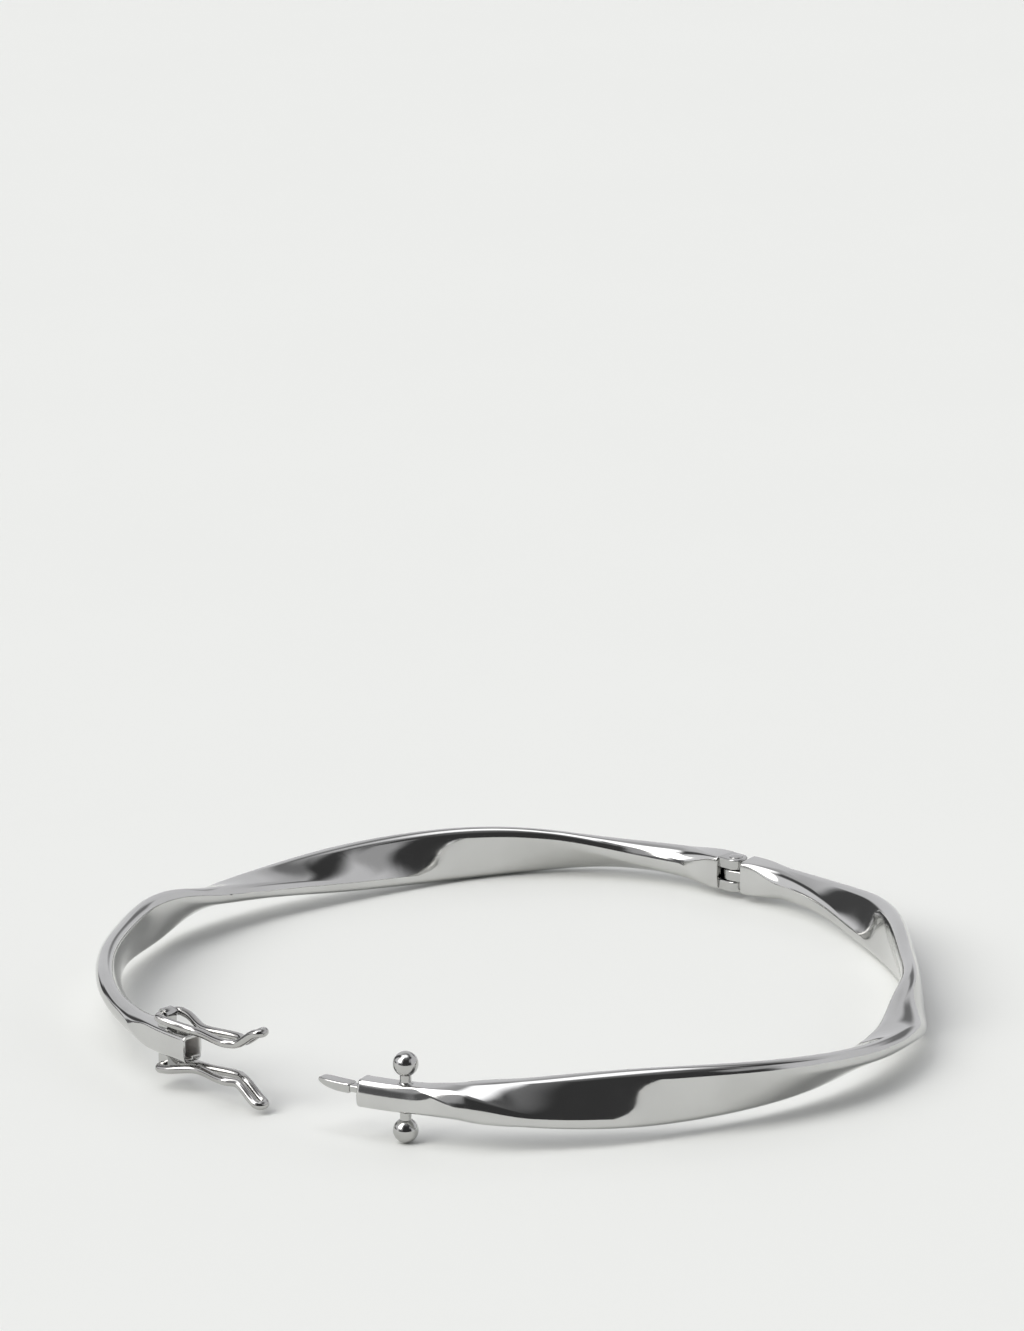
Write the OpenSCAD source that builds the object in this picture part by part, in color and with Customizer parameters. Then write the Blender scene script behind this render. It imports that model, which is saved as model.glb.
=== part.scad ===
// Hinged oval bangle: two twisted bands, a tongue-and-box clasp and two wire safety catches.
// The origin is the centre of the closed oval at mid height. +X points to the hinge pin and
// +Z along the arm. The rear half lies on the +Y side. The front half is drawn standing open.

/* [Oval] */
// Mean radius of the band's centreline when closed
ring_r = 29.95; // [27:0.05:34]
// Extra reach of the centreline at the hinge and at the clasp, which makes the ring oval
oval_reach = 1.55; // [0:0.05:2.5]
// How far the hinge side is drawn out beyond the clasp side
hinge_reach = 0.68; // [0:0.02:1.2]
// How far the front half is fuller than the rear half
front_reach = 0.58; // [0:0.02:1.2]
// How far the four quarters are squared
corner_reach = 0.44; // [0:0.02:0.6]
// How far the two shoulders beside the hinge stand out
shoulder_reach = 0.26; // [0:0.02:0.4]
// Angle from the long axis to the clasp, towards the rear half
clasp_turn = 3.3; // [0:0.1:8]
// Angle that the front half stands open
open_rest = 14.8; // [0:0.1:30]

/* [Twisted band] */
// Width of the flat band where it stands on edge
band_w = 4.6; // [3.6:0.05:5]
// Width of the flat band where it lies level
lie_w = 3.15; // [2.8:0.05:5]
// Thickness of the flat band
band_t = 1.58; // [1.2:0.02:1.9]
// Rounding of the flat band's edges
band_r = 0.7; // [0.25:0.05:0.8]
// Half turns that the band makes along each half
half_turns = 2; // [1:1:3]
// Extra turn in the quick part of the twist, in degrees
quick_turn = 38; // [0:1:42]
// Place of the quick part, as a share of the half's length
quick_at = 0.605; // [0.55:0.005:0.7]
// Length of the quick part
quick_l = 6.5; // [5:0.1:10]
// Turn held back in the slow part of the twist, in degrees
slow_turn = 12; // [0:1:15]
// Place of the slow part, as a share of the half's length
slow_at = 0.4; // [0.3:0.01:0.45]
// Length of the slow part
slow_l = 10; // [7:0.5:14]

/* [Clasp ends] */
// Radial width of the square ends at the clasp
end_w = 2; // [1.8:0.1:2.4]
// Height of the square ends at the clasp
end_h = 2.2; // [2.1:0.1:2.6]
// Rounding of the square ends' edges
end_r = 0.25; // [0.1:0.05:0.35]
// Length of the square ends before the twist starts
end_l = 4.6; // [4.5:0.1:6]
// Length over which an end grows into the flat band
end_blend = 9; // [8:0.5:16]
// Gap between the two ends when the clasp is closed
end_gap = 0.25; // [0.2:0.05:0.4]
// Wall of the box at the end of the rear half
box_wall = 0.28; // [0.2:0.02:0.32]
// Depth of the box
box_l = 4.3; // [4:0.1:4.4]
// Thickness of the plates that close the bands
plate_t = 0.4; // [0.3:0.05:0.6]

/* [Tongue and keeper] */
// Length of the tongue
tongue_l = 3.7; // [2.8:0.1:3.9]
// Radial width of the tongue
tongue_w = 1.15; // [0.8:0.05:1.2]
// Thickness of the tongue
tongue_t = 0.8; // [0.6:0.05:0.85]
// Height of the tongue's middle above the middle of the box
tongue_rise = 0.15; // [0.12:0.01:0.24]
// Length of the groove at the tongue's root
groove_l = 0.75; // [0.5:0.05:1]
// Depth of the groove, all round
groove_d = 0.12; // [0.05:0.01:0.2]
// Thickness of the keeper strip on the floor of the box
keeper_t = 0.18; // [0.12:0.02:0.2]
// Width of the keeper strip
keeper_w = 0.9; // [0.6:0.05:1]
// Reach of the keeper's lip beyond the mouth of the box
lip_reach = 0.5; // [0.3:0.05:0.55]
// Rise of the keeper's lip
lip_rise = 0.3; // [0.1:0.05:0.3]

/* [Ball studs] */
// Diameter of the balls
ball_d = 2; // [1.6:0.1:2.1]
// Distance between the centres of the two balls
ball_span = 5.4; // [5.3:0.1:6.2]
// Diameter of the necks under the balls
neck_d = 0.9; // [0.7:0.05:0.95]
// Distance of the studs from the end of the front half
stud_set = 3.8; // [3.2:0.1:4]

/* [Safety catches] */
// Diameter of the wire
wire_d = 0.7; // [0.5:0.05:0.75]
// Distance of the lugs from the end of the rear half
lug_set = 3.1; // [2.4:0.1:3.4]
// Width of a lug, along its bore
lug_w = 1.1; // [0.8:0.1:1.2]
// Length of a lug
lug_l = 1.1; // [1:0.05:1.3]
// Height of a lug's bore above the band
lug_rise = 1; // [0.9:0.05:1.2]
// Height of the wire's centre above the band where it passes the stud's neck
loop_rise = 0.47; // [0.43:0.01:0.54]
// Distance between wire centres in the loop round the lug
lug_loop_w = 2.4; // [2.2:0.1:2.8]
// Distance between wire centres in the loop round the stud
stud_loop_w = 1.84; // [1.8:0.02:2.1]
// Distance between wire centres at the waist and at the tip
pinch_w = 0.9; // [0.8:0.02:1]
// Length over which the wires close in behind the stud
hook_l = 1.3; // [1.2:0.05:1.8]
// Length of the bent thumb tip
tip_l = 2.2; // [1.8:0.1:3]
// Rise of the thumb tip
tip_rise = 1.4; // [0.5:0.05:2.4]

/* [Hinge] */
// Radial width of the bands at the hinge
hinge_w = 2.65; // [2.1:0.05:2.8]
// Height of the bands and of the barrel at the hinge
hinge_h = 2.9; // [2.4:0.1:3.2]
// Length over which the bands grow from the hinge into the flat band
hinge_blend = 16; // [9:0.5:20]
// Diameter of the barrel
barrel_d = 2; // [1.6:0.1:2.1]
// Diameter of the pin
pin_d = 0.7; // [0.5:0.05:0.9]
// Diameter of the pin's riveted heads
head_d = 1.2; // [1:0.05:1.5]
// Thickness of the pin's heads
head_t = 0.12; // [0.08:0.02:0.2]

/* [Clearances] */
// Radial clearance of the pin in the barrel, and of the wire in the lugs
run_gap = 0.03; // [0.01:0.01:0.06]
// Gap between neighbouring knuckles
knuckle_gap = 0.06; // [0.03:0.01:0.1]
// Gap between the barrel and the end plates of the bands
barrel_gap = 0.1; // [0.06:0.02:0.2]
// Gap round the keeper's lip in the notch that it enters
lip_gap = 0.15; // [0.1:0.01:0.16]

/* [Hidden] */
$fn = 48;
silver = [0.78, 0.78, 0.77];
// Sections along each band, and points round each rounded corner
band_steps = 80;
corner_steps = 5;
// Sections along each side of a catch, round its bends, and points round the wire
wire_steps = 30;
bend_steps = 5;
wire_sides = 8;
// Step of the centreline's table of lengths, in degrees
table_step = 0.5;

// Closed centreline and its table of arc lengths, counter-clockwise from the hinge pin
function reach(t) = ring_r + oval_reach * cos(2 * t) + hinge_reach * cos(3 * t)
                  + front_reach * sin(3 * t) + corner_reach * cos(4 * t)
                  - shoulder_reach * cos(5 * t);
function oval(t) = reach(t) * [cos(t), sin(t), 0];
function stride(t) = norm(oval(t + table_step) - oval(t));
length_at = [for (i = 0, s = 0; i * table_step <= 360; s = s + stride(i * table_step), i = i + 1)
             [i * table_step, s]];
angle_at = [for (pair = length_at) [pair[1], pair[0]]];
ring_l = lookup(360, length_at);
clasp_s = lookup(180 - clasp_turn, length_at);
function turn(s) = lookup(s, angle_at);
function place(s) = oval(turn(s));
function along(s) = oval(turn(s) + 0.1) - oval(turn(s) - 0.1);
function heading(s) = atan2(along(s)[1], along(s)[0]) - 90;
function outward(s) = [cos(heading(s)), sin(heading(s)), 0];

// Where the bands and the pieces on them start and end along the centreline
pin = oval(0);
hinge_set = barrel_d / 2 + barrel_gap;
rear_start = hinge_set + plate_t;
rear_end = clasp_s - end_gap / 2;
front_face = clasp_s + end_gap / 2;
front_start = front_face + plate_t;
front_end = ring_l - hinge_set - plate_t;
stud_s = front_face + stud_set;
lug_s = rear_end - lug_set;
half_l = rear_end - rear_start;

// Height of the band's top at the clasp, of the wire's pivot and of the box's floor
end_top = end_h / 2;
pivot_z = end_top + lug_rise;
box_floor = end_top - box_wall;
// Catches lie along the line from the lug to the stud in its closed place
catch_line = place(stud_s) - place(lug_s);
catch_turn = atan2(catch_line[1], catch_line[0]) - 90;
stud_y = norm(catch_line);
knuckle_h = (hinge_h - 2 * knuckle_gap) / 3;

function ease(x) = let (c = max(0, min(1, x))) c * c * (3 - 2 * c);
function mix(a, b, k) = a + (b - a) * k;
function bell(x) = exp(-x * x);

// Turn of the section at a share v of a half, counted counter-clockwise, level at both ends
full_turn = 180 * half_turns;
function raw_twist(v) = full_turn * v + quick_turn * bell((v - quick_at) * half_l / quick_l)
                      - slow_turn * bell((v - slow_at) * half_l / slow_l);
function level(v, first, last) = v < 0.5 ? raw_twist(v) * first
                               : full_turn - (full_turn - raw_twist(v)) * last;
function twist(v, clasp_d, hinge_d, clasp_first) =
    let (c = ease((clasp_d - end_l) / end_l), h = ease(hinge_d / end_l))
    clasp_first ? level(v, c, h) : level(v, h, c);

// Rounded rectangle as points, wide side along the first axis
function rounded(w, h, r) = [for (k = [0:3], j = [0:corner_steps])
    let (a = 90 * k + 90 * j / corner_steps,
         sx = k == 0 || k == 3 ? 1 : -1,
         sz = k < 2 ? 1 : -1)
    [sx * (w / 2 - r) + r * cos(a), sz * (h / 2 - r) + r * sin(a)]];

// A section laid on the centreline at s, turned by a, with its middle lifted by z
function lay(s, section, a = 0, z = 0) = [for (q = section)
    place(s) + outward(s) * (q[0] * cos(a) + q[1] * sin(a))
    + [0, 0, z + q[1] * cos(a) - q[0] * sin(a)]];

// Section of a band, square at the clasp and at the hinge and flat between them
function band_ring(s, clasp_d, hinge_d, v, clasp_first) =
    let (c = ease((clasp_d - end_l) / end_blend),
         h = ease(hinge_d / hinge_blend),
         a = twist(v, clasp_d, hinge_d, clasp_first),
         w = mix(hinge_w, mix(end_w, mix(band_w, lie_w, pow(cos(a), 2)), c), h),
         t = mix(hinge_h, mix(end_h, band_t, c), h),
         r = min(0.45 * t, mix(end_r, band_r, min(c, h))))
    lay(s, rounded(w, t, r), a);

// Solid through a list of rings that all have the same number of points
module sweep(rings) {
    n = len(rings[0]);
    m = len(rings);
    points = [for (ring = rings, p = ring) p];
    sides = [for (i = [0:m - 2], j = [0:n - 1], k = [0, 1])
             let (a = i * n + j, b = i * n + (j + 1) % n)
             k == 0 ? [a, b, b + n] : [a, b + n, a + n]];
    first = [for (j = [n - 1:-1:0]) j];
    last = [for (j = [0:n - 1]) (m - 1) * n + j];
    polyhedron(points, concat([first], sides, [last]));
}

// Round wire through a list of points
module wire(route, d) {
    last = len(route) - 1;
    sweep([for (i = [0:last])
        let (ahead = route[min(i + 1, last)] - route[max(i - 1, 0)],
             side = cross(ahead, [0, 0, 1]),
             x = side / norm(side),
             up = cross(x, ahead),
             z = up / norm(up))
        [for (j = [0:wire_sides - 1])
            let (a = 360 * j / wire_sides)
            route[i] + d / 2 * (x * cos(a) + z * sin(a))]]);
}

// Prism with rounded corners, standing on the plane y = 0 and running to y = l
module plate(w, h, r, l) {
    for (x = [-1, 1], z = [-1, 1])
        translate([x * (w / 2 - r), 0, z * (h / 2 - r)])
            rotate([-90, 0, 0])
                cylinder(r = r, h = l);
    translate([r - w / 2, 0, -h / 2])
        cube([w - 2 * r, l, h]);
    translate([-w / 2, 0, r - h / 2])
        cube([w, l, h - 2 * r]);
}

// Children placed on the centreline, with x outward and y counter-clockwise along it
module at(s) {
    translate(place(s))
        rotate(heading(s))
            children();
}

// Children placed at a lug, with y along the catch
module at_lug() {
    translate(place(lug_s))
        rotate(catch_turn)
            children();
}

// Children of the front half, swung open about the pin
module swung() {
    translate(pin)
        rotate(open_rest)
            translate(-pin)
                children();
}

module rear_band() {
    box = rounded(end_w - 2 * box_wall, end_h - 2 * box_wall, end_r / 2);
    outer = [for (i = [0:band_steps])
             let (d = half_l * i / band_steps)
             band_ring(rear_start + d, half_l - d, d, i / band_steps, false)];
    inner = [for (i = [0:4]) lay(rear_end - box_l * i / 4, box)];
    color(silver)
        sweep(concat(outer, inner));
}

module front_band() {
    l = front_end - front_start;
    color(silver)
        swung()
            sweep([for (i = [0:band_steps])
                   let (d = l * i / band_steps)
                   band_ring(front_start + d, d + plate_t, l - d, i / band_steps, true)]);
}

module rear_hinge_plate() {
    color(silver)
        at(rear_start)
            translate([0, -plate_t, 0])
                plate(hinge_w, hinge_h, end_r, plate_t);
}

module front_hinge_plate() {
    color(silver)
        swung()
            at(front_end)
                plate(hinge_w, hinge_h, end_r, plate_t);
}

// Plate at the clasp, with a notch that the keeper's lip enters
module front_end_plate() {
    notch_w = keeper_w + 2 * lip_gap;
    notch_h = keeper_t + lip_rise + lip_gap;
    color(silver)
        swung()
            at(front_start)
                translate([0, -plate_t, 0])
                    difference() {
                        plate(end_w, end_h, end_r, plate_t);
                        translate([-notch_w / 2, -plate_t, -end_h])
                            cube([notch_w, 3 * plate_t, end_h - box_floor + notch_h]);
                    }
}

// One knuckle between the heights low and high, with the leaf that joins it to its plate
module knuckle(low, high, plate_s, leaf_from) {
    difference() {
        union() {
            translate([pin[0], pin[1], low])
                cylinder(d = barrel_d, h = high - low);
            at(plate_s)
                translate([-barrel_d / 2, leaf_from, low])
                    cube([barrel_d, hinge_set, high - low]);
        }
        translate([pin[0], pin[1], low - hinge_h])
            cylinder(d = pin_d + 2 * run_gap, h = 3 * hinge_h);
    }
}

module rear_upper_knuckle() {
    color(silver)
        knuckle(hinge_h / 2 - knuckle_h, hinge_h / 2, rear_start, -plate_t - hinge_set);
}

module rear_lower_knuckle() {
    color(silver)
        knuckle(-hinge_h / 2, knuckle_h - hinge_h / 2, rear_start, -plate_t - hinge_set);
}

module front_knuckle() {
    color(silver)
        swung()
            knuckle(-knuckle_h / 2, knuckle_h / 2, front_end, plate_t);
}

// Pin through the three knuckles, with a flat riveted head at each end
module hinge_pin() {
    color(silver)
        translate([pin[0], pin[1], 0]) {
            cylinder(d = pin_d, h = hinge_h + head_t, center = true);
            for (side = [0, 1])
                mirror([0, 0, side])
                    translate([0, 0, hinge_h / 2])
                        cylinder(d = head_d, h = head_t);
        }
}

// Tongue that follows the closed centreline, level on top, keeled below and grooved at its root
module tongue() {
    tip = front_face - tongue_l;
    root = front_face - groove_l;
    keel = [for (k = [0, 0.1, 0.25, 0.45, 0.7, 1])
            [mix(tip, root, k), mix(0.75, 1, ease(4 * k)), mix(0.45, 1, sin(90 * min(1, k / 0.7)))]];
    head = [for (k = keel)
            lay(k[0], rounded(tongue_w * k[1], tongue_t * k[2], tongue_t * k[2] / 5), 0,
                tongue_rise + tongue_t * (1 - k[2]) / 2)];
    neck = rounded(tongue_w - 2 * groove_d, tongue_t - 2 * groove_d, tongue_t / 6);
    color(silver)
        swung()
            sweep(concat(head, [for (k = [0, 1]) lay(root + groove_l * k, neck, 0, tongue_rise)]));
}

// Strip on the floor of the box, with a lip that curls up at the mouth
module box_keeper() {
    middle = keeper_t / 2 - box_floor;
    strip = rounded(keeper_w, keeper_t, keeper_t / 4);
    inside = [for (k = [0:3]) lay(rear_end - box_l * (0.9 - 0.3 * k), strip, 0, middle)];
    lip = [for (k = [1:4]) lay(rear_end + lip_reach * k / 4, strip, 0,
                               middle + lip_rise * ease(k / 4))];
    color(silver)
        sweep(concat(inside, lip));
}

module stud() {
    color(silver)
        swung()
            at(stud_s) {
                translate([0, 0, end_top])
                    cylinder(d = neck_d, h = ball_span / 2 - end_top);
                translate([0, 0, ball_span / 2])
                    sphere(d = ball_d);
            }
}

module upper_stud() {
    stud();
}

module lower_stud() {
    mirror([0, 0, 1])
        stud();
}

// Eye with a rounded top that the catch's wire turns in
module lug() {
    color(silver)
        at_lug()
            difference() {
                union() {
                    translate([-lug_w / 2, -lug_l / 2, end_top])
                        cube([lug_w, lug_l, lug_rise]);
                    translate([-lug_w / 2, 0, pivot_z])
                        rotate([0, 90, 0])
                            cylinder(d = lug_l, h = lug_w);
                }
                translate([-lug_w, 0, pivot_z])
                    rotate([0, 90, 0])
                        cylinder(d = wire_d + 2 * run_gap, h = 2 * lug_w);
            }
}

module upper_lug() {
    lug();
}

module lower_lug() {
    mirror([0, 0, 1])
        lug();
}

// Half the distance between the wires at y along the catch, and the wire's height there
waist_y = 0.55 * stud_y;
joined_y = stud_y + hook_l;
catch_l = joined_y + tip_l;
function spread(y) =
    y < waist_y ? mix(lug_loop_w, pinch_w, ease((y - 0.2 * waist_y) / (0.8 * waist_y))) / 2 :
    y < stud_y ? mix(pinch_w, stud_loop_w, ease((y - waist_y) / (stud_y - waist_y))) / 2 :
    mix(stud_loop_w, pinch_w, ease((y - stud_y) / (joined_y - stud_y))) / 2;
function height(y) = (loop_rise - lug_rise) * ease(y / waist_y)
                   + tip_rise * ease((y - joined_y + tip_l / 4) / (1.25 * tip_l));

// Figure-of-eight wire on a straight pivot bar, with both strands ending in the thumb tip
module catch() {
    bend = wire_d / 2 + 0.1;
    corner = [for (i = [0:bend_steps])
              let (a = 90 * i / bend_steps)
              [lug_loop_w / 2 - bend + bend * sin(a), bend - bend * cos(a), 0]];
    side = [for (i = [1:wire_steps])
            let (y = mix(bend, catch_l - pinch_w / 2, i / wire_steps))
            [spread(y), y, height(y)]];
    tip = [for (i = [1:bend_steps])
           let (a = 90 * i / bend_steps, y = catch_l - pinch_w / 2 + pinch_w / 2 * sin(a))
           [pinch_w / 2 * cos(a), y, height(y)]];
    start = [[lug_loop_w / 2 - bend - wire_d / 4, 0, 0]];
    right = concat(start, corner, side, tip);
    last = len(right) - 1;
    left = [for (i = [1:last]) let (p = right[last - i]) [-p[0], p[1], p[2]]];
    color(silver)
        at_lug()
            translate([0, 0, pivot_z]) {
                rotate([0, 90, 0])
                    cylinder(d = wire_d, h = lug_loop_w - 2 * bend, center = true);
                wire(concat(right, left), wire_d);
            }
}

module upper_catch() {
    catch();
}

module lower_catch() {
    mirror([0, 0, 1])
        catch();
}

rear_band();
front_band();
rear_hinge_plate();
front_hinge_plate();
front_end_plate();
rear_upper_knuckle();
rear_lower_knuckle();
front_knuckle();
hinge_pin();
tongue();
box_keeper();
upper_stud();
lower_stud();
upper_lug();
lower_lug();
upper_catch();
lower_catch();
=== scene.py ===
"""Looks of the hinged twist bangle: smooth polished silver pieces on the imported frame."""

import math

import bmesh
import bpy
import numpy as np
from mathutils import Matrix, Vector


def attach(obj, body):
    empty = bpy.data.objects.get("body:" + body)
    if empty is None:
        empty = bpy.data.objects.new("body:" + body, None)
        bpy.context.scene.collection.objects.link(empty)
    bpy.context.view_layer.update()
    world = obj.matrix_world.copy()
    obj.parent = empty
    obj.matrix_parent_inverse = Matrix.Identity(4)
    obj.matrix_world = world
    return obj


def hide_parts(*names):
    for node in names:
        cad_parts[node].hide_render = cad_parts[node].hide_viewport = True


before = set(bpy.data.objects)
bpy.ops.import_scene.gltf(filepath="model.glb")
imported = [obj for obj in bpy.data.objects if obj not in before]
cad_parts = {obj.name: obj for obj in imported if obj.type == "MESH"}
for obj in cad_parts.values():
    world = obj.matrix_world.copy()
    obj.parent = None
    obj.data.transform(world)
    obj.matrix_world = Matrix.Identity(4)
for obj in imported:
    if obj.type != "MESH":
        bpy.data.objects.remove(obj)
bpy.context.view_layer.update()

MM = 0.001

# Sizes of the solids, in millimetres and degrees
RING_R = 29.95
OVAL_REACH = 1.55
HINGE_REACH = 0.68
FRONT_REACH = 0.58
CORNER_REACH = 0.44
SHOULDER_REACH = 0.26
CLASP_TURN = 3.3
OPEN_REST = 14.8
BAND_W = 4.6
LIE_W = 3.15
BAND_T = 1.58
FULL_TURN = 360.0
QUICK_TURN = 38.0
QUICK_AT = 0.605
QUICK_L = 6.5
SLOW_TURN = 12.0
SLOW_AT = 0.4
SLOW_L = 10.0
END_W = 2.0
END_H = 2.2
END_R = 0.25
END_L = 4.6
END_BLEND = 9.0
END_GAP = 0.25
BOX_WALL = 0.28
BOX_L = 4.3
PLATE_T = 0.4
TONGUE_L = 3.7
TONGUE_W = 1.15
TONGUE_T = 0.8
TONGUE_RISE = 0.15
GROOVE_L = 0.75
GROOVE_D = 0.12
KEEPER_T = 0.18
KEEPER_W = 0.9
LIP_REACH = 0.5
LIP_RISE = 0.3
LIP_GAP = 0.15
BALL_D = 2.0
BALL_SPAN = 5.4
NECK_D = 0.9
STUD_SET = 3.8
WIRE_D = 0.7
LUG_SET = 3.1
LUG_W = 1.1
LUG_L = 1.1
LUG_RISE = 1.0
LOOP_RISE = 0.47
LUG_LOOP_W = 2.4
STUD_LOOP_W = 1.84
PINCH_W = 0.9
HOOK_L = 1.3
TIP_L = 2.2
TIP_RISE = 1.4
HINGE_W = 2.65
HINGE_H = 2.9
HINGE_BLEND = 16.0
BARREL_D = 2.0
BARREL_GAP = 0.1
PIN_D = 0.7
HEAD_D = 1.2
HEAD_T = 0.12
RUN_GAP = 0.03
KNUCKLE_GAP = 0.06


# Closed centreline, counter-clockwise from the hinge pin, by angle and by arc length
def oval(t):
    a = np.radians(t)
    r = (RING_R + OVAL_REACH * np.cos(2 * a) + HINGE_REACH * np.cos(3 * a)
         + FRONT_REACH * np.sin(3 * a) + CORNER_REACH * np.cos(4 * a)
         - SHOULDER_REACH * np.cos(5 * a))
    return np.stack([r * np.cos(a), r * np.sin(a), 0 * a], axis=-1)


ANGLE_STEP = 0.25
ANGLES = np.arange(0, 360 + ANGLE_STEP, ANGLE_STEP)
STRIDES = np.linalg.norm(np.diff(oval(ANGLES), axis=0), axis=1)
LENGTHS = np.concatenate([[0], np.cumsum(STRIDES)])
PIN = oval(0.0)


def turn(s):
    """Angle on the oval at an arc length."""
    return float(np.interp(s, LENGTHS, ANGLES))


def place(s):
    """Point of the centreline at an arc length."""
    return oval(turn(s))


def heading(s):
    """Direction that points out of the oval at an arc length, in radians."""
    near = 0.1
    step = oval(turn(s) + near) - oval(turn(s) - near)
    return math.atan2(step[1], step[0]) - math.pi / 2


RING_L = LENGTHS[-1]
CLASP_S = float(np.interp(180 - CLASP_TURN, ANGLES, LENGTHS))
HINGE_SET = BARREL_D / 2 + BARREL_GAP
REAR_START = HINGE_SET + PLATE_T
REAR_END = CLASP_S - END_GAP / 2
FRONT_FACE = CLASP_S + END_GAP / 2
FRONT_START = FRONT_FACE + PLATE_T
FRONT_END = RING_L - HINGE_SET - PLATE_T
HALF_L = REAR_END - REAR_START
STUD_S = FRONT_FACE + STUD_SET
LUG_S = REAR_END - LUG_SET
END_TOP = END_H / 2
PIVOT_Z = END_TOP + LUG_RISE
BOX_FLOOR = END_TOP - BOX_WALL
CATCH_LINE = place(STUD_S) - place(LUG_S)
CATCH_TURN = math.atan2(CATCH_LINE[1], CATCH_LINE[0]) - math.pi / 2
STUD_Y = float(np.linalg.norm(CATCH_LINE))
KNUCKLE_H = (HINGE_H - 2 * KNUCKLE_GAP) / 3

# Helpers for sections, rings and meshes
ROUND_STEP = 7.5
WELD = 1e-8


def ease(x):
    """Smooth step from 0 to 1."""
    c = max(0.0, min(1.0, x))
    return c * c * (3 - 2 * c)


def mix(a, b, k):
    return a + (b - a) * k


def twist(v, clasp_d, hinge_d, clasp_first):
    """Turn of the section at a share v of a half, level at both ends."""
    raw = (FULL_TURN * v + QUICK_TURN * math.exp(-((v - QUICK_AT) * HALF_L / QUICK_L) ** 2)
           - SLOW_TURN * math.exp(-((v - SLOW_AT) * HALF_L / SLOW_L) ** 2))
    clasp = ease((clasp_d - END_L) / END_L)
    hinge = ease(hinge_d / END_L)
    first, last = (clasp, hinge) if clasp_first else (hinge, clasp)
    return raw * first if v < 0.5 else FULL_TURN - (FULL_TURN - raw) * last


def rounded(w, h, r, corner=7, flats=(14, 6)):
    """Rounded rectangle as points, with the flats split so that they shade flat."""
    points = []
    for k in range(4):
        sx = 1 if k in (0, 3) else -1
        sz = 1 if k < 2 else -1
        for j in range(corner + 1):
            a = math.pi / 2 * (k + j / corner)
            points.append((sx * (w / 2 - r) + r * math.cos(a), sz * (h / 2 - r) + r * math.sin(a)))
        count = flats[k % 2]
        if count:
            end = points[-1]
            nx = -1 if k in (0, 1) else 1
            nz = 1 if k in (0, 3) else -1
            a = math.pi / 2 * (k + 1)
            start = (nx * (w / 2 - r) + r * math.cos(a), nz * (h / 2 - r) + r * math.sin(a))
            for j in range(1, count):
                u = 0.5 - 0.5 * math.cos(math.pi * j / count)
                points.append((mix(end[0], start[0], u), mix(end[1], start[1], u)))
    return np.array(points)


def crowned(section, wide, tall, even=0.0):
    """A section whose faces bulge, so that their edges drop by wide and tall millimetres.

    The wide faces drop late, or by an even curve as even goes from 0 to 1.
    """
    half_w, half_h = np.abs(section).max(axis=0)
    x, z = section[:, 0], section[:, 1]
    across = (x / half_w) ** 2
    return np.stack([x * (1 - tall / half_w * (z / half_h) ** 2),
                     z * (1 - wide / half_h * mix(across ** 2, across, even))], axis=-1)


def leaned(section, lean):
    """A section whose outer face leans in by lean millimetres at its top."""
    half_w, half_h = np.abs(section).max(axis=0)
    x, z = section[:, 0], section[:, 1]
    drawn = lean / half_w * ((z + half_h) / (2 * half_h)) ** 2
    return np.stack([np.where(x > 0, x * (1 - drawn), x), z], axis=-1)


def quarter_round(radius, steps, first=0):
    """Distances along and across a rounded edge, from its start to its end in equal turns."""
    turns = [math.pi / 2 * k / steps for k in range(first, steps + 1)]
    return [(radius * (1 - math.sin(a)), radius * (1 - math.cos(a))) for a in turns]


def revolved(profile):
    """Rings of a round piece on the z axis, from its radii and heights."""
    around = np.radians(np.arange(0, 360, ROUND_STEP))
    return np.array([np.stack([r * np.cos(around), r * np.sin(around), z + 0 * around], axis=-1)
                     for r, z in profile])


def lay(s, section, degrees=0.0, z=0.0):
    """A section laid on the centreline at s, turned, with its middle lifted by z."""
    a, out = math.radians(degrees), heading(s)
    radial = section[:, 0] * math.cos(a) + section[:, 1] * math.sin(a)
    high = z + section[:, 1] * math.cos(a) - section[:, 0] * math.sin(a)
    p = place(s)
    return np.stack([p[0] + math.cos(out) * radial, p[1] + math.sin(out) * radial, high], axis=-1)


def swing(points):
    """Points of the front half, swung open about the pin."""
    a = math.radians(OPEN_REST)
    d = points - PIN
    x = d[..., 0] * math.cos(a) - d[..., 1] * math.sin(a)
    y = d[..., 0] * math.sin(a) + d[..., 1] * math.cos(a)
    return np.stack([x, y, d[..., 2]], axis=-1) + PIN


def stand(points, base, angle):
    """Points of a piece's own frame, turned about z and moved to its base."""
    x = points[..., 0] * math.cos(angle) - points[..., 1] * math.sin(angle)
    y = points[..., 0] * math.sin(angle) + points[..., 1] * math.cos(angle)
    return np.stack([x, y, points[..., 2]], axis=-1) + base


def upside_down(points):
    return points * np.array([1.0, 1.0, -1.0])


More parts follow.
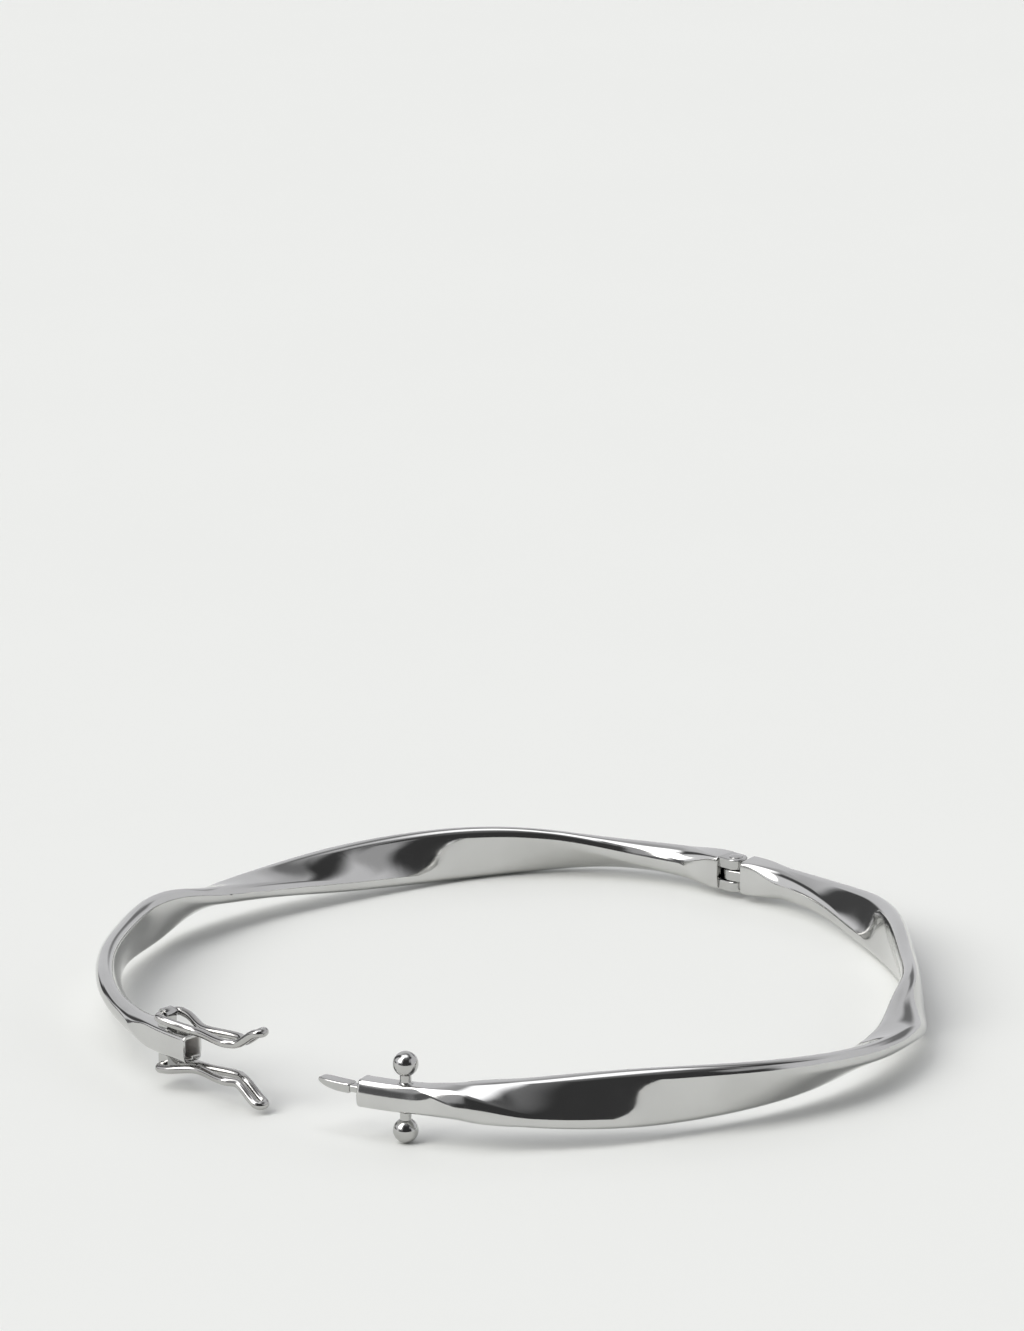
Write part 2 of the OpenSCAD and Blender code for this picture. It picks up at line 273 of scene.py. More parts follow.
def grid_mesh(name, rings, wrap=False, sharp=40.0, painted_light_rings=0):
    """Mesh through rings of equal length, smooth except at sharp edges; the last rings can take the second
    material, which paints light into a hollow.
    """
    rings = np.asarray(rings)
    m, n = rings.shape[:2]
    faces = []
    for i in range(m if wrap else m - 1):
        for j in range(n):
            k = (j + 1) % n
            i2 = (i + 1) % m
            faces.append((i * n + j, i2 * n + j, i2 * n + k, i * n + k))
    if not wrap:
        faces.append(tuple(range(n)))
        faces.append(tuple((m - 1) * n + j for j in reversed(range(n))))
    mesh = bpy.data.meshes.new(name)
    mesh.from_pydata((rings.reshape(-1, 3) * MM).tolist(), [], faces)
    for face in mesh.polygons:
        # Faces of the last rings take the second material: painted light on the inside of a hollow
        painted_light_face = min(face.vertices) >= (m - painted_light_rings) * n
        face.material_index = 1 if painted_light_face else 0
    bm = bmesh.new()
    bm.from_mesh(mesh)
    bmesh.ops.remove_doubles(bm, verts=bm.verts, dist=WELD)
    bmesh.ops.recalc_face_normals(bm, faces=bm.faces)
    bm.to_mesh(mesh)
    bm.free()
    for face in mesh.polygons:
        face.use_smooth = True
    mesh.set_sharp_from_angle(angle=math.radians(sharp))
    obj = bpy.data.objects.new(name, mesh)
    bpy.context.collection.objects.link(obj)
    return obj


def add(obj, body, node, material):
    """Dress a piece, put it on its body and let it stand for its node."""
    obj.data.materials.append(material)
    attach(obj, body)
    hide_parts(node)


# Materials
def noise(tree, scale, detail=2.0, distortion=0.0):
    """Noise over a piece's own coordinates."""
    coords = tree.nodes.new("ShaderNodeTexCoord")
    node = tree.nodes.new("ShaderNodeTexNoise")
    node.inputs["Scale"].default_value = scale
    node.inputs["Detail"].default_value = detail
    node.inputs["Distortion"].default_value = distortion
    tree.links.new(coords.outputs["Object"], node.inputs["Vector"])
    return node.outputs["Fac"]


def tinted(tree, share, dark, light, low=0.0, high=1.0):
    """Colour that goes from dark to light as share goes from low to high."""
    ramp = tree.nodes.new("ShaderNodeValToRGB")
    first, last = ramp.color_ramp.elements
    first.position = low
    first.color = (*dark, 1)
    last.position = high
    last.color = (*light, 1)
    tree.links.new(share, ramp.inputs["Fac"])
    return ramp.outputs["Color"]


def silver(name, light, dark, rough_low, rough_high, grain, metal=1.0):
    """Polished silver with faint clouding, polishing haze and hairline wear."""
    mat = bpy.data.materials.new(name)
    mat.use_nodes = True
    tree = mat.node_tree
    shader = tree.nodes["Principled BSDF"]
    shader.inputs["Metallic"].default_value = metal
    cloud = noise(tree, scale=210.0, detail=5.0)
    colour = tinted(tree, cloud, dark, light, low=0.35, high=0.62)
    tree.links.new(colour, shader.inputs["Base Color"])

    rough = tree.nodes.new("ShaderNodeMapRange")
    rough.inputs["From Min"].default_value = 0.3
    rough.inputs["From Max"].default_value = 0.7
    rough.inputs["To Min"].default_value = rough_low
    rough.inputs["To Max"].default_value = rough_high
    tree.links.new(noise(tree, scale=900.0, detail=6.0), rough.inputs["Value"])
    tree.links.new(rough.outputs["Result"], shader.inputs["Roughness"])

    bump = tree.nodes.new("ShaderNodeBump")
    bump.inputs["Strength"].default_value = 0.06
    bump.inputs["Distance"].default_value = 0.00004
    tree.links.new(noise(tree, scale=grain, detail=3.0, distortion=1.5), bump.inputs["Height"])
    tree.links.new(bump.outputs["Normal"], shader.inputs["Normal"])
    return mat


BAND_SILVER = silver("band_silver", light=(0.62, 0.62, 0.61), dark=(0.58, 0.58, 0.57),
                     rough_low=0.06, rough_high=0.11, grain=700.0)
FITTING_SILVER = silver("fitting_silver", light=(0.54, 0.54, 0.53), dark=(0.49, 0.49, 0.48),
                        rough_low=0.06, rough_high=0.12, grain=1500.0)
WIRE_SILVER = silver("wire_silver", light=(0.51, 0.505, 0.495), dark=(0.45, 0.445, 0.435),
                     rough_low=0.06, rough_high=0.12, grain=2200.0)
# Inside of the box: a pale, nearly unmetallic copy of the silver, which paints light onto the hollow's
# walls
BOX_PAINTED_LIGHT_SILVER = silver("box_painted_light_silver", light=(0.93, 0.91, 0.89), dark=(0.86, 0.84, 0.82),
                    rough_low=0.34, rough_high=0.48, grain=900.0, metal=0.1)

# Twisted bands: crowned faces, rounder necks beside the clasp, and a leaning, fuller front end
BAND_RINGS = 460
BAND_CROWN = 0.22
END_CROWN = 0.14
END_CROWN_TOP = 0.03
NECK_CROWN = 0.3
ROUND_L = 4.0
ROUND_SHARE = 0.45
FRONT_LEAN = 0.3
FRONT_FILL = 0.8
MOUTH_SOFT = 0.06
EDGE_MIDDLE = 0.3


def band_ring(s, clasp_d, hinge_d, v, clasp_first, lean=0.0, fill=0.0):
    """Section of a band at s, by its distances from the clasp and the hinge."""
    c = ease((clasp_d - END_L) / END_BLEND)
    h = ease(hinge_d / HINGE_BLEND)
    a = twist(v, clasp_d, hinge_d, clasp_first)
    w = mix(HINGE_W, mix(END_W, mix(BAND_W, LIE_W, math.cos(math.radians(a)) ** 2), c), h)
    t = mix(HINGE_H, mix(END_H, BAND_T, c), h)
    neck = 4 * c * (1 - c)
    w += fill * neck
    t += fill * neck
    r = mix(END_R, ROUND_SHARE * min(w, t), ease(min(clasp_d - END_L, hinge_d) / ROUND_L))
    bulge = min(c, h)
    crown = mix(END_CROWN_TOP, BAND_CROWN, bulge) + NECK_CROWN * neck
    section = crowned(rounded(w, t, r), crown, mix(END_CROWN, 0.0, bulge), 1 - c)
    return lay(s, leaned(section, lean * (1 - c)), a)


def end_section(w, h, inset=0.0, lean=0.0):
    """Section of a band's end, drawn in by inset."""
    section = rounded(w - 2 * inset, h - 2 * inset, END_R)
    return leaned(crowned(section, END_CROWN_TOP, END_CROWN), lean)


def rear_rings():
    """The rear band from hinge to clasp, then over the mouth of the box and down its inside."""
    rings = []
    for i in range(BAND_RINGS + 1):
        v = i / BAND_RINGS
        d = HALF_L * v
        rings.append(band_ring(REAR_START + d, HALF_L - d, d, v, False))
    near = EDGE_MIDDLE * MOUTH_SOFT
    box_w, box_h, box_r = END_W - 2 * BOX_WALL, END_H - 2 * BOX_WALL, END_R / 2
    rings[-1] = lay(REAR_END - MOUTH_SOFT, end_section(END_W, END_H))
    rings.append(lay(REAR_END - near, end_section(END_W, END_H, near)))
    rings.append(lay(REAR_END, end_section(END_W, END_H, MOUTH_SOFT)))
    rings.append(lay(REAR_END, rounded(box_w + 2 * MOUTH_SOFT, box_h + 2 * MOUTH_SOFT, box_r + MOUTH_SOFT)))
    for d in (MOUTH_SOFT, BOX_L / 3, 2 * BOX_L / 3, BOX_L):
        rings.append(lay(REAR_END - d, rounded(box_w, box_h, box_r)))
    return rings


def front_rings():
    """The front band from clasp to hinge."""
    length = FRONT_END - FRONT_START
    rings = []
    for i in range(BAND_RINGS + 1):
        v = i / BAND_RINGS
        d = length * v
        rings.append(band_ring(FRONT_START + d, d + PLATE_T, length - d, v, True, FRONT_LEAN, FRONT_FILL))
    return swing(np.array(rings))


rear_band = grid_mesh("rear_band_polished", rear_rings(), painted_light_rings=5)
add(rear_band, "rear_half", "rear_band", BAND_SILVER)
# The box's inside takes the pale copy of the silver: painted light in the hollow
rear_band.data.materials.append(BOX_PAINTED_LIGHT_SILVER)
front_band = grid_mesh("front_band_polished", front_rings())
add(front_band, "front_half", "front_band", BAND_SILVER)

# Plates that close the bands, with softened edges
PLATE_SOFT = 0.12
CLASP_SOFT = 0.26
PLATE_STEPS = 6


def plate_rings(start, face, w, h, soft=PLATE_SOFT, lean=0.0, shape=None):
    """Rings from the band's end at start to the plate's outer face, with edges rounded by soft."""
    way = 1 if face > start else -1
    rings = []
    for d, inset in [(abs(face - start), 0.0)] + quarter_round(soft, PLATE_STEPS):
        section = end_section(w, h, inset, lean)
        rings.append(lay(face - way * d, shape(section) if shape else section))
    return np.array(rings)


def notched(section):
    """The clasp plate's section, with the notch that the keeper's lip enters."""
    half = KEEPER_W / 2 + LIP_GAP
    top = KEEPER_T + LIP_RISE + LIP_GAP - BOX_FLOOR
    base = end_section(END_W, END_H)
    cut = np.flatnonzero((base[:, 1] < 0) & (np.abs(base[:, 0]) < half))
    low = section[cut, 1].mean()
    notch = np.array([(-half, low), (-half, top), (half, top), (half, low)])
    inside = (section[:, 1] < top) & (np.abs(section[:, 0]) < half)
    x = np.where(inside, np.copysign(half, section[:, 0]), section[:, 0])
    section = np.stack([x, section[:, 1]], axis=-1)
    return np.concatenate([section[:cut[0]], notch, section[cut[-1] + 1:]])


clasp_plate = swing(plate_rings(FRONT_START, FRONT_FACE, END_W, END_H, CLASP_SOFT, FRONT_LEAN, notched))
rear_plate = plate_rings(REAR_START, HINGE_SET, HINGE_W, HINGE_H)
front_plate = swing(plate_rings(FRONT_END, FRONT_END + PLATE_T, HINGE_W, HINGE_H))
for name, body, rings in (("front_end_plate", "front_half", clasp_plate),
                          ("rear_hinge_plate", "rear_half", rear_plate),
                          ("front_hinge_plate", "front_half", front_plate)):
    add(grid_mesh(name + "_polished", rings), body, name, BAND_SILVER)

# Hinge: rounded knuckles on leaves, and a pin with domed heads
KNUCKLE_SOFT = 0.12
KNUCKLE_STEPS = 5
BARREL_STEPS = 48
LEAF_SPLIT = 0.3
HEAD_EDGE = 0.2
HEAD_SEAT = 0.01
HEAD_STEPS = 8
AXIS_R = 1e-4


def knuckle_rings(low, high, plate_s, face_s):
    """A knuckle between two heights, on a leaf that reaches from its plate to the pin."""
    out = np.array([math.cos(heading(plate_s)), math.sin(heading(plate_s)), 0.0])
    leaf = place(plate_s) + (place(face_s) - place(plate_s)) * PLATE_T / abs(face_s - plate_s)
    away = PIN - leaf
    away /= np.linalg.norm(away)
    hole = PIN_D / 2 + RUN_GAP

    def outline(inset, z):
        r = BARREL_D / 2 - inset
        halfway = leaf * 0.5 + PIN * 0.5
        points = [leaf - out * r, halfway - out * r]
        for k in range(BARREL_STEPS + 1):
            a = math.pi * k / BARREL_STEPS
            points.append(PIN - out * r * math.cos(a) + away * r * math.sin(a))
        points += [halfway + out * r, leaf + out * r]
        points += [leaf + out * r * LEAF_SPLIT, leaf - out * r * LEAF_SPLIT]
        return np.array(points) + np.array([0.0, 0.0, z])

    def bore(z):
        around = outline(0.0, 0.0) - PIN
        around *= hole / np.linalg.norm(around, axis=1)[:, None]
        return PIN + around + np.array([0.0, 0.0, z])

    edge = quarter_round(KNUCKLE_SOFT, KNUCKLE_STEPS, first=1)
    rings = [outline(0.0, low + KNUCKLE_SOFT), outline(0.0, high - KNUCKLE_SOFT)]
    rings += [outline(inset, high - d) for d, inset in edge]
    rings += [bore(high), bore(low)]
    rings += [outline(inset, low + d) for d, inset in reversed(edge)]
    return np.array(rings)


def pin_rings():
    """The pin's shank and its two domed heads."""
    shank, head, top = PIN_D / 2, HEAD_D / 2, HINGE_H / 2
    profile = [(shank, 0.0), (shank, top - HEAD_SEAT), (head, top), (head, top + HEAD_EDGE * HEAD_T)]
    for k in range(1, HEAD_STEPS + 1):
        a = math.pi / 2 * k / HEAD_STEPS
        profile.append((max(head * math.cos(a), AXIS_R), top + HEAD_T * mix(HEAD_EDGE, 1.0, math.sin(a))))
    return PIN + revolved([(r, -z) for r, z in reversed(profile[1:])] + profile)


upper = knuckle_rings(HINGE_H / 2 - KNUCKLE_H, HINGE_H / 2, REAR_START, 0.0)
lower = knuckle_rings(-HINGE_H / 2, KNUCKLE_H - HINGE_H / 2, REAR_START, 0.0)
middle = swing(knuckle_rings(-KNUCKLE_H / 2, KNUCKLE_H / 2, FRONT_END, RING_L))
for name, body, rings in (("rear_upper_knuckle", "rear_half", upper),
                          ("rear_lower_knuckle", "rear_half", lower),
                          ("front_knuckle", "front_half", middle)):
    add(grid_mesh(name + "_rounded", rings, wrap=True), body, name, FITTING_SILVER)
add(grid_mesh("hinge_pin_domed", pin_rings()), "rear_half", "hinge_pin", FITTING_SILVER)

# Tongue with a keel that thins out towards its tip, and keeper with a curled lip
TONGUE_SHARES = (0.0, 0.01, 0.03, 0.06, 0.1, 0.15, 0.22, 0.3, 0.4, 0.5, 0.6, 0.7, 0.85, 0.96, 0.985, 1.0)
GROOVE_SHARES = (0.02, 0.5, 1.0)
TONGUE_SOFT = 0.05
TIP_WIDE = 0.75
TIP_DEEP = 0.45
TAPER_SHARE = 0.25
KEEL_SHARE = 0.7
TIP_ROUND = 0.06
ROOT_ROUND = 0.04
KEEPER_SHARE = 0.9
KEEPER_STEPS = 8
LIP_SLACK = 0.02
LIP_CURL = 100.0
LIP_STEPS = 12


def tongue_rings():
    """The tongue from its tip to its root, then the groove between the root and the plate."""
    tip, root = FRONT_FACE - TONGUE_L, FRONT_FACE - GROOVE_L
    laid = []
    for k in TONGUE_SHARES:
        wide = mix(TIP_WIDE, 1.0, ease(k / TAPER_SHARE))
        deep = mix(TIP_DEEP, 1.0, math.sin(math.pi / 2 * min(1.0, k / KEEL_SHARE)))
        ends = max(0.0, 1 - k / TIP_ROUND) ** 2 + max(0.0, (k - 1 + ROOT_ROUND) / ROOT_ROUND) ** 2
        inset = TONGUE_SOFT * ends
        section = rounded(TONGUE_W * wide - 2 * inset, TONGUE_T * deep - 2 * inset, TONGUE_T * deep / 5,
                          corner=5, flats=(6, 4))
        laid.append(lay(mix(tip, root, k), section, 0, TONGUE_RISE + TONGUE_T * (1 - deep) / 2))
    neck = rounded(TONGUE_W - 2 * GROOVE_D, TONGUE_T - 2 * GROOVE_D, TONGUE_T / 6, corner=5, flats=(6, 4))
    laid += [lay(root + GROOVE_L * k, neck, 0, TONGUE_RISE) for k in GROOVE_SHARES]
    return swing(np.array(laid))


def keeper_rings():
    """Strip along the floor of the box, curling up into a hook beyond its mouth."""
    middle = KEEPER_T / 2 - BOX_FLOOR
    strip = rounded(KEEPER_W, KEEPER_T, KEEPER_T / 4, corner=4, flats=(6, 2))
    rings = []
    for k in range(KEEPER_STEPS + 1):
        rings.append(lay(REAR_END - BOX_L * KEEPER_SHARE * (1 - k / KEEPER_STEPS), strip, 0, middle))
    curl = LIP_RISE - LIP_SLACK
    straight = LIP_REACH - curl - KEEPER_T / 2
    for k in range(LIP_STEPS + 1):
        a = math.radians(LIP_CURL) * k / LIP_STEPS
        ring = []
        for x, z in strip:
            reach = straight + (curl - z) * math.sin(a)
            high = middle + curl - (curl - z) * math.cos(a)
            ring.append(lay(REAR_END + reach, np.array([(x, 0.0)]), 0, high)[0])
        rings.append(np.array(ring))
    return rings


add(grid_mesh("tongue_polished", tongue_rings()), "front_half", "tongue", FITTING_SILVER)
add(grid_mesh("keeper_strip", keeper_rings()), "rear_half", "box_keeper", FITTING_SILVER)

# Ball studs with solder fillets at their feet
FOOT_R = 0.2
FOOT_STEPS = 6
BALL_STEPS = 28


def stud_rings():
    ball, neck, centre = BALL_D / 2, NECK_D / 2, BALL_SPAN / 2
    profile = [(neck + out, END_TOP + up) for out, up in quarter_round(FOOT_R, FOOT_STEPS)]
    start = math.asin(neck / ball)
    for k in range(BALL_STEPS + 1):
        a = mix(start, math.pi, k / BALL_STEPS)
        profile.append((max(ball * math.sin(a), AXIS_R), centre - ball * math.cos(a)))
    return revolved(profile)


for name, flip in (("upper_stud", False), ("lower_stud", True)):
    rings = swing(stand(stud_rings(), place(STUD_S), heading(STUD_S)))
    stud = grid_mesh(name + "_ball", upside_down(rings) if flip else rings)
    add(stud, "front_half", name, FITTING_SILVER)

# Lugs: a rounded eye with softened edges
LUG_SOFT = 0.09
LUG_STEPS = 72
LEAST_COS = 1e-6


def lug_rings():
    hole = WIRE_D / 2 + RUN_GAP
    turns = [2 * math.pi * k / LUG_STEPS for k in range(LUG_STEPS)]

    def outline(inset):
        """Round above the hole, straight down to the band below it."""
        half = LUG_L / 2 - inset
        points = []
        for a in turns:
            c, s = math.cos(a), math.sin(a)
            reach = half if s >= 0 else min(half / max(abs(c), LEAST_COS), LUG_RISE / abs(s))
            points.append((reach * c, reach * s))
        return points

    circle = [(hole * math.cos(a), hole * math.sin(a)) for a in turns]
    half = LUG_W / 2
    near = EDGE_MIDDLE * LUG_SOFT
    loops = [(LUG_SOFT - half, outline(0.0)), (half - LUG_SOFT, outline(0.0)),
             (half - near, outline(near)), (half, outline(LUG_SOFT)), (half, circle),
             (-half, circle), (-half, outline(LUG_SOFT)), (near - half, outline(near))]
    return np.array([[(x, y, PIVOT_Z + z) for y, z in loop] for x, loop in loops])


for name, flip in (("upper_lug", False), ("lower_lug", True)):
    rings = stand(lug_rings(), place(LUG_S), CATCH_TURN)
    lug = grid_mesh(name + "_eye", upside_down(rings) if flip else rings, wrap=True)
    add(lug, "rear_half", name, FITTING_SILVER)

# Safety catches: bent wire on a straight bar
WAIST_SHARE = 0.55
LOOP_SHARE = 0.2
TIP_EARLY = 0.25
BEND_GAP = 0.1
BAR_STEPS = 4
BEND_STEPS = 8
ARM_STEPS = 90
WIRE_SIDES = 20
WAIST_Y = WAIST_SHARE * STUD_Y
JOINED_Y = STUD_Y + HOOK_L
CATCH_L = JOINED_Y + TIP_L


def spread(y):
    """Half the distance between the two wires of a catch."""
    if y < WAIST_Y:
        full = LOOP_SHARE * WAIST_Y
        return mix(LUG_LOOP_W, PINCH_W, ease((y - full) / (WAIST_Y - full))) / 2
    if y < STUD_Y:
        return mix(PINCH_W, STUD_LOOP_W, ease((y - WAIST_Y) / (STUD_Y - WAIST_Y))) / 2
    return mix(STUD_LOOP_W, PINCH_W, ease((y - STUD_Y) / (JOINED_Y - STUD_Y))) / 2


def height(y):
    """Height of a catch's wires above its bar."""
    dip = (LOOP_RISE - LUG_RISE) * ease(y / WAIST_Y)
    return dip + TIP_RISE * ease((y - JOINED_Y + TIP_EARLY * TIP_L) / ((1 + TIP_EARLY) * TIP_L))


def catch_route():
    """Closed route of the wire: half the bar, a bend, one arm and half the tip, then the same mirrored."""
    bend = WIRE_D / 2 + BEND_GAP
    bar = LUG_LOOP_W / 2 - bend
    right = [(x, 0.0, 0.0) for x in np.linspace(0, bar, BAR_STEPS + 1)[:-1]]
    for k in range(BEND_STEPS + 1):
        a = math.pi / 2 * k / BEND_STEPS
        right.append((bar + bend * math.sin(a), bend - bend * math.cos(a), 0.0))
    straight = CATCH_L - PINCH_W / 2
    for k in range(1, ARM_STEPS + 1):
        y = mix(bend, straight, k / ARM_STEPS)
        right.append((spread(y), y, height(y)))
    for k in range(1, BEND_STEPS + 1):
        a = math.pi / 2 * k / BEND_STEPS
        y = straight + PINCH_W / 2 * math.sin(a)
        right.append((PINCH_W / 2 * math.cos(a), y, height(y)))
    left = [(-x, y, z) for x, y, z in reversed(right[1:-1])]
    return np.array(right + left)


def wire_rings(route, d):
    """Rings of a round wire along a closed route."""
    ahead = np.roll(route, -1, axis=0) - np.roll(route, 1, axis=0)
    side = np.cross(ahead, [0.0, 0.0, 1.0])
    side /= np.linalg.norm(side, axis=1)[:, None]
    up = np.cross(side, ahead)
    up /= np.linalg.norm(up, axis=1)[:, None]
    a = 2 * np.pi * np.arange(WIRE_SIDES) / WIRE_SIDES
    return (route[:, None, :] + d / 2 * (side[:, None, :] * np.cos(a)[None, :, None]
                                         + up[:, None, :] * np.sin(a)[None, :, None]))


for name, flip in (("upper_catch", False), ("lower_catch", True)):
    rings = wire_rings(catch_route(), WIRE_D) + np.array([0.0, 0.0, PIVOT_Z])
    rings = stand(rings, place(LUG_S), CATCH_TURN)
    catch = grid_mesh(name + "_wire", upside_down(rings) if flip else rings, wrap=True)
    add(catch, name, name, WIRE_SILVER)

# Floor: the plane that the bangle lies on, under its lowest points
FLOOR_HALF = 3.0
FLOOR_DARK = (0.855, 0.865, 0.845)
FLOOR_LIGHT = (0.87, 0.88, 0.86)
LEAST_UP = 0.9
TOUCH = 1e-6


def rest_plane():
    """A point and the normal of the plane that the pieces rest on, under their middle."""
    points = [o.matrix_world @ v.co for o in bpy.context.scene.objects
              if o.type == "MESH" and not o.hide_render for v in o.data.vertices]
    middle = sum(points, Vector()) / len(points)
    bm = bmesh.new()
    for p in points:
        if p.z < 0:
            bm.verts.new(p)
    hull = bmesh.ops.convex_hull(bm, input=bm.verts, use_existing_faces=False)
    faces = [f for f in hull["geom"] if isinstance(f, bmesh.types.BMFace)]
    corners = np.array([v.co for f in faces for v in f.verts])
    best, normal = None, None
    for face in faces:
        face.normal_update()
        n = face.normal if face.normal.z > 0 else -face.normal
        base = face.verts[0].co
        if n.z < LEAST_UP or ((corners - np.array(base)) @ np.array(n)).min() < -TOUCH:
            continue
        z = base.z - (n.x * (middle.x - base.x) + n.y * (middle.y - base.y)) / n.z
        if best is None or z > best:
            best, normal = z, n.copy()
    bm.free()
    return Vector((middle.x, middle.y, best)), normal


def pale_floor(base, normal):
    corners = [(x * FLOOR_HALF, y * FLOOR_HALF, 0) for x, y in ((-1, -1), (1, -1), (1, 1), (-1, 1))]
    mesh = bpy.data.meshes.new("floor")
    mesh.from_pydata(corners, [], [(0, 1, 2, 3)])
    floor = bpy.data.objects.new("floor", mesh)
    bpy.context.collection.objects.link(floor)
    turn_up = Vector((0, 0, 1)).rotation_difference(normal).to_matrix().to_4x4()
    floor.matrix_world = Matrix.Translation(base) @ turn_up
    mat = bpy.data.materials.new("pale_floor")
    mat.use_nodes = True
    tree = mat.node_tree
    shader = tree.nodes["Principled BSDF"]
    shader.inputs["Roughness"].default_value = 0.75
    shader.inputs["Specular IOR Level"].default_value = 0.2
    colour = tinted(tree, noise(tree, scale=30.0), FLOOR_DARK, FLOOR_LIGHT)
    tree.links.new(colour, shader.inputs["Base Color"])
    mesh.materials.append(mat)


pale_floor(*rest_plane())

# Camera at the photograph's viewing angle, in degrees, millimetres and the photograph's pixels
CAMERA_TURN = math.radians(47.675)
CAMERA_RISE = math.radians(18.232)
CAMERA_FAR = 545.0
PIXELS_PER_MM = 12.2
IMAGE_W, IMAGE_H = 1024, 1331
CENTRE_X, CENTRE_Y = 480.69, 960.7
SENSOR_H = 24.0
CLIP_NEAR, CLIP_FAR = 0.01, 20.0

back = Vector((math.sin(CAMERA_TURN), math.cos(CAMERA_TURN), 0))
right = Vector((math.cos(CAMERA_TURN), -math.sin(CAMERA_TURN), 0))
up = Vector((0, 0, 1))
eye = (-back * math.cos(CAMERA_RISE) + up * math.sin(CAMERA_RISE)) * CAMERA_FAR * MM
ahead = -eye.normalized()
over = right.cross(ahead)
focal_px = PIXELS_PER_MM * CAMERA_FAR
look = Matrix((right, over, -ahead)).transposed().to_4x4()
look = look @ Matrix.Rotation(math.atan2(CENTRE_Y - IMAGE_H / 2, focal_px), 4, "X")
look = look @ Matrix.Rotation(math.atan2(CENTRE_X - IMAGE_W / 2, focal_px), 4, "Y")
camera_data = bpy.data.cameras.new("camera")
camera_data.sensor_fit = "VERTICAL"
camera_data.sensor_height = SENSOR_H
camera_data.lens = focal_px / IMAGE_H * SENSOR_H
camera_data.clip_start = CLIP_NEAR
camera_data.clip_end = CLIP_FAR
camera = bpy.data.objects.new("camera", camera_data)
bpy.context.collection.objects.link(camera)
camera.matrix_world = Matrix.Translation(eye) @ look
bpy.context.scene.camera = camera

# Soft studio light: pale walls, dark behind the camera, dark flags, and a softbox at the left with a
# panel and a bright ceiling above it
RIGHT_WALL = (0.75, 0.75, 0.77)
LEFT_WALL = (0.87, 0.87, 0.89)
HIGH_WALL = (0.46, 0.46, 0.47)
ARC = (0.22, 0.22, 0.225)
LOW_DARK = (0.13, 0.13, 0.133)
FLAG = (0.08, 0.08, 0.082)
DARK = (0.05, 0.05, 0.051)
CEILING = (2.0, 2.0, 2.05)
TOP_PANEL = (2.4, 2.4, 2.45)
SOFTBOX = (5.7, 5.65, 5.5)


def sine(degrees):
    return math.sin(math.radians(degrees))


def cosine(degrees):
    return math.cos(math.radians(degrees))


def aim(bearing, rise):
    """Direction by its bearing, counted from straight behind the bangle to the right, and its height."""
    return (back * cosine(bearing) + right * sine(bearing)) * cosine(rise) + up * sine(rise)


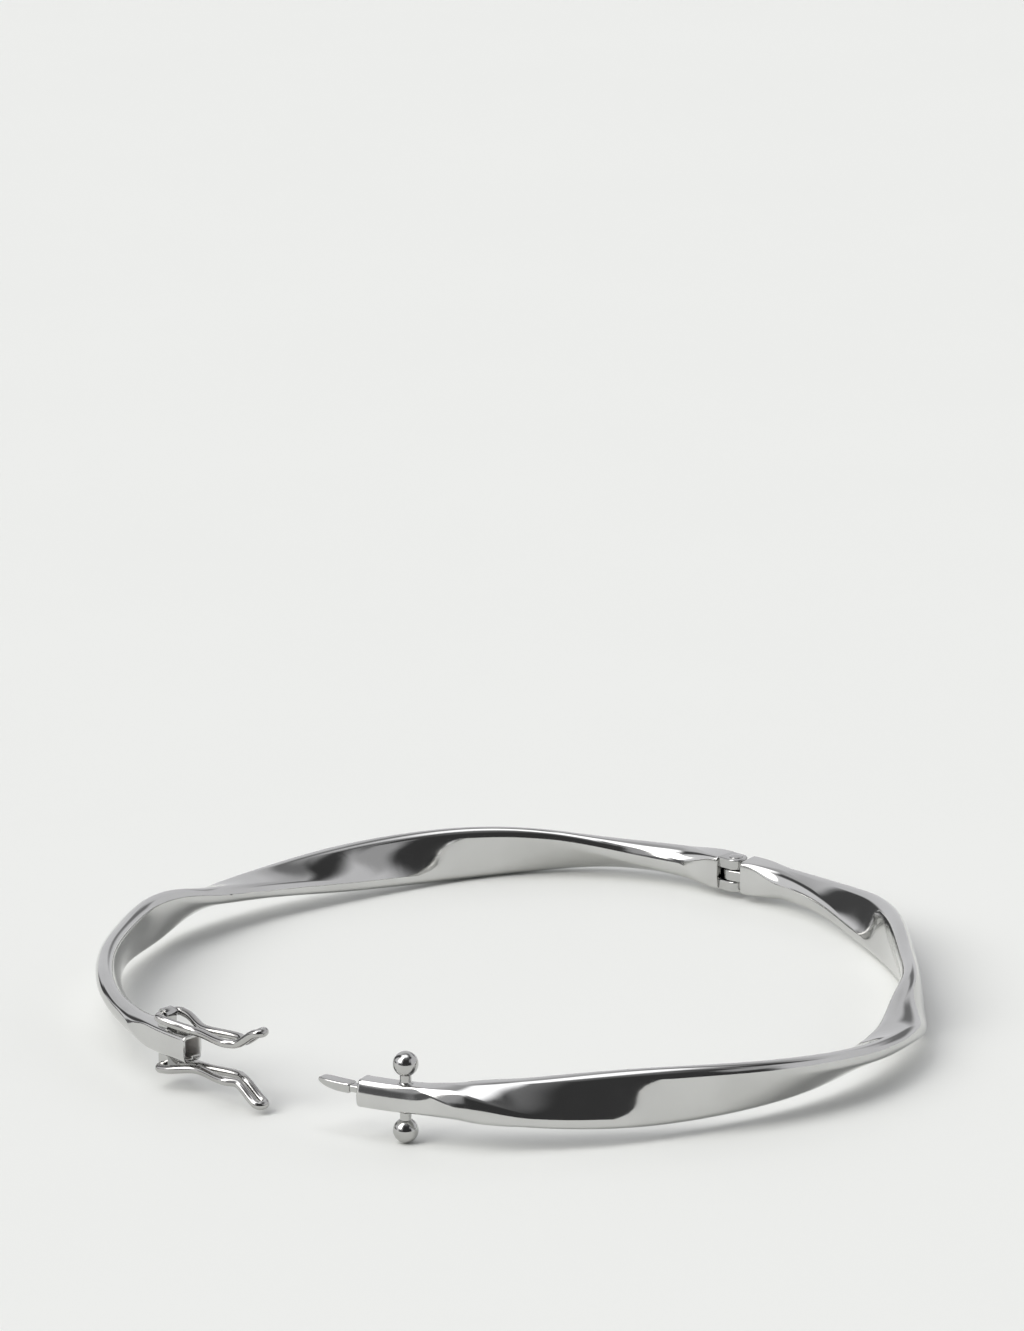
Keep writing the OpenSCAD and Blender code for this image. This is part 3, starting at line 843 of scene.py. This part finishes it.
def studio_world():
    """Panels painted on the sky, each over those before it.

    Their places are in degrees. Half is half a panel's width, edge is how soft its sides are, and fade is
    how soft its top and bottom are.
    """
    world = bpy.data.worlds.new("studio")
    bpy.context.scene.world = world
    world.use_nodes = True
    nodes, links = world.node_tree.nodes, world.node_tree.links
    sky = nodes.new("ShaderNodeTexCoord").outputs["Generated"]
    parts = nodes.new("ShaderNodeSeparateXYZ")
    links.new(sky, parts.inputs["Vector"])
    flat = nodes.new("ShaderNodeVectorMath")
    flat.operation = "MULTIPLY"
    flat.inputs[1].default_value = (1, 1, 0)
    links.new(sky, flat.inputs[0])
    level = nodes.new("ShaderNodeVectorMath")
    level.operation = "NORMALIZE"
    links.new(flat.outputs["Vector"], level.inputs[0])

    def step(value, low, high):
        """Smooth share that goes from 0 at low to 1 at high."""
        soft = nodes.new("ShaderNodeMapRange")
        soft.interpolation_type = "SMOOTHSTEP"
        soft.inputs["From Min"].default_value = low
        soft.inputs["From Max"].default_value = high
        links.new(value, soft.inputs["Value"])
        return soft.outputs["Result"]

    def along(source, axis):
        dot = nodes.new("ShaderNodeVectorMath")
        dot.operation = "DOT_PRODUCT"
        dot.inputs[1].default_value = axis
        links.new(source, dot.inputs[0])
        return dot.outputs["Value"]

    def times(first, second):
        product = nodes.new("ShaderNodeMath")
        product.operation = "MULTIPLY"
        links.new(first, product.inputs[0])
        links.new(second, product.inputs[1])
        return product.outputs["Value"]

    def above(rise, fade):
        return step(parts.outputs["Z"], sine(rise - fade), sine(rise + fade))

    def below(rise, fade):
        rest = nodes.new("ShaderNodeMath")
        rest.operation = "SUBTRACT"
        rest.inputs[0].default_value = 1.0
        links.new(above(rise, fade), rest.inputs[1])
        return rest.outputs["Value"]

    def panel(bearing, half, edge, low=None, high=None, fade=None):
        """Share of a panel about a bearing, from a lowest to a highest edge where these are given."""
        facing = along(level.outputs["Vector"], aim(bearing, 0))
        share = step(facing, cosine(half + edge), cosine(half - edge))
        if low is not None:
            share = times(share, above(low, fade))
        if high is not None:
            share = times(share, below(high, fade))
        return share

    def strip(start, end, half, edge):
        """Share of a slanted strip along the great circle through two directions."""
        off = nodes.new("ShaderNodeMath")
        off.operation = "ABSOLUTE"
        links.new(along(sky, start.cross(end).normalized()), off.inputs[0])
        return step(off.outputs["Value"], sine(half + edge), sine(half - edge))

    def paint(room, colour, share):
        """The room so far, with a colour laid over it by a share."""
        mixer = nodes.new("ShaderNodeMix")
        mixer.data_type = "RGBA"
        links.new(share, mixer.inputs["Factor"])
        if room is None:
            mixer.inputs["A"].default_value = (*RIGHT_WALL, 1)
        else:
            links.new(room, mixer.inputs["A"])
        mixer.inputs["B"].default_value = (*colour, 1)
        return mixer.outputs["Result"]

    slant = strip(aim(-40, 0), aim(-62, 45), half=10, edge=4)
    panels = (
        (LEFT_WALL, panel(bearing=-110, half=60, edge=20)),
        (HIGH_WALL, above(rise=52, fade=14)),
        (ARC, panel(bearing=45, half=40, edge=8, low=57, high=68, fade=4)),
        (ARC, panel(bearing=30, half=13, edge=5, low=13, high=27, fade=4)),
        (FLAG, times(slant, panel(bearing=-50, half=40, edge=10, high=55, fade=4))),
        (LOW_DARK, panel(bearing=-72, half=16, edge=4, high=8, fade=3)),
        (DARK, panel(bearing=170, half=44, edge=5)),
        (ARC, panel(bearing=174, half=36, edge=14, low=58, fade=14)),
        (CEILING, above(rise=77, fade=8)),
        (HIGH_WALL, panel(bearing=130, half=10, edge=4, low=24, high=43, fade=4)),
        (DARK, panel(bearing=99, half=22, edge=8, low=45, high=65, fade=6)),
        (LOW_DARK, panel(bearing=-131, half=15, edge=4, high=15, fade=4)),
        (TOP_PANEL, panel(bearing=-100, half=48, edge=12, low=62, high=82, fade=6)),
        (SOFTBOX, panel(bearing=-118, half=19, edge=5, low=21, high=66, fade=5)),
        (HIGH_WALL, panel(bearing=-143, half=7, edge=4, low=15, high=62, fade=5)),
    )
    room = None
    for colour, share in panels:
        room = paint(room, colour, share)
    links.new(room, nodes["Background"].inputs["Color"])
    nodes["Background"].inputs["Strength"].default_value = 1.0


studio_world()
bpy.context.scene.view_settings.view_transform = "Standard"
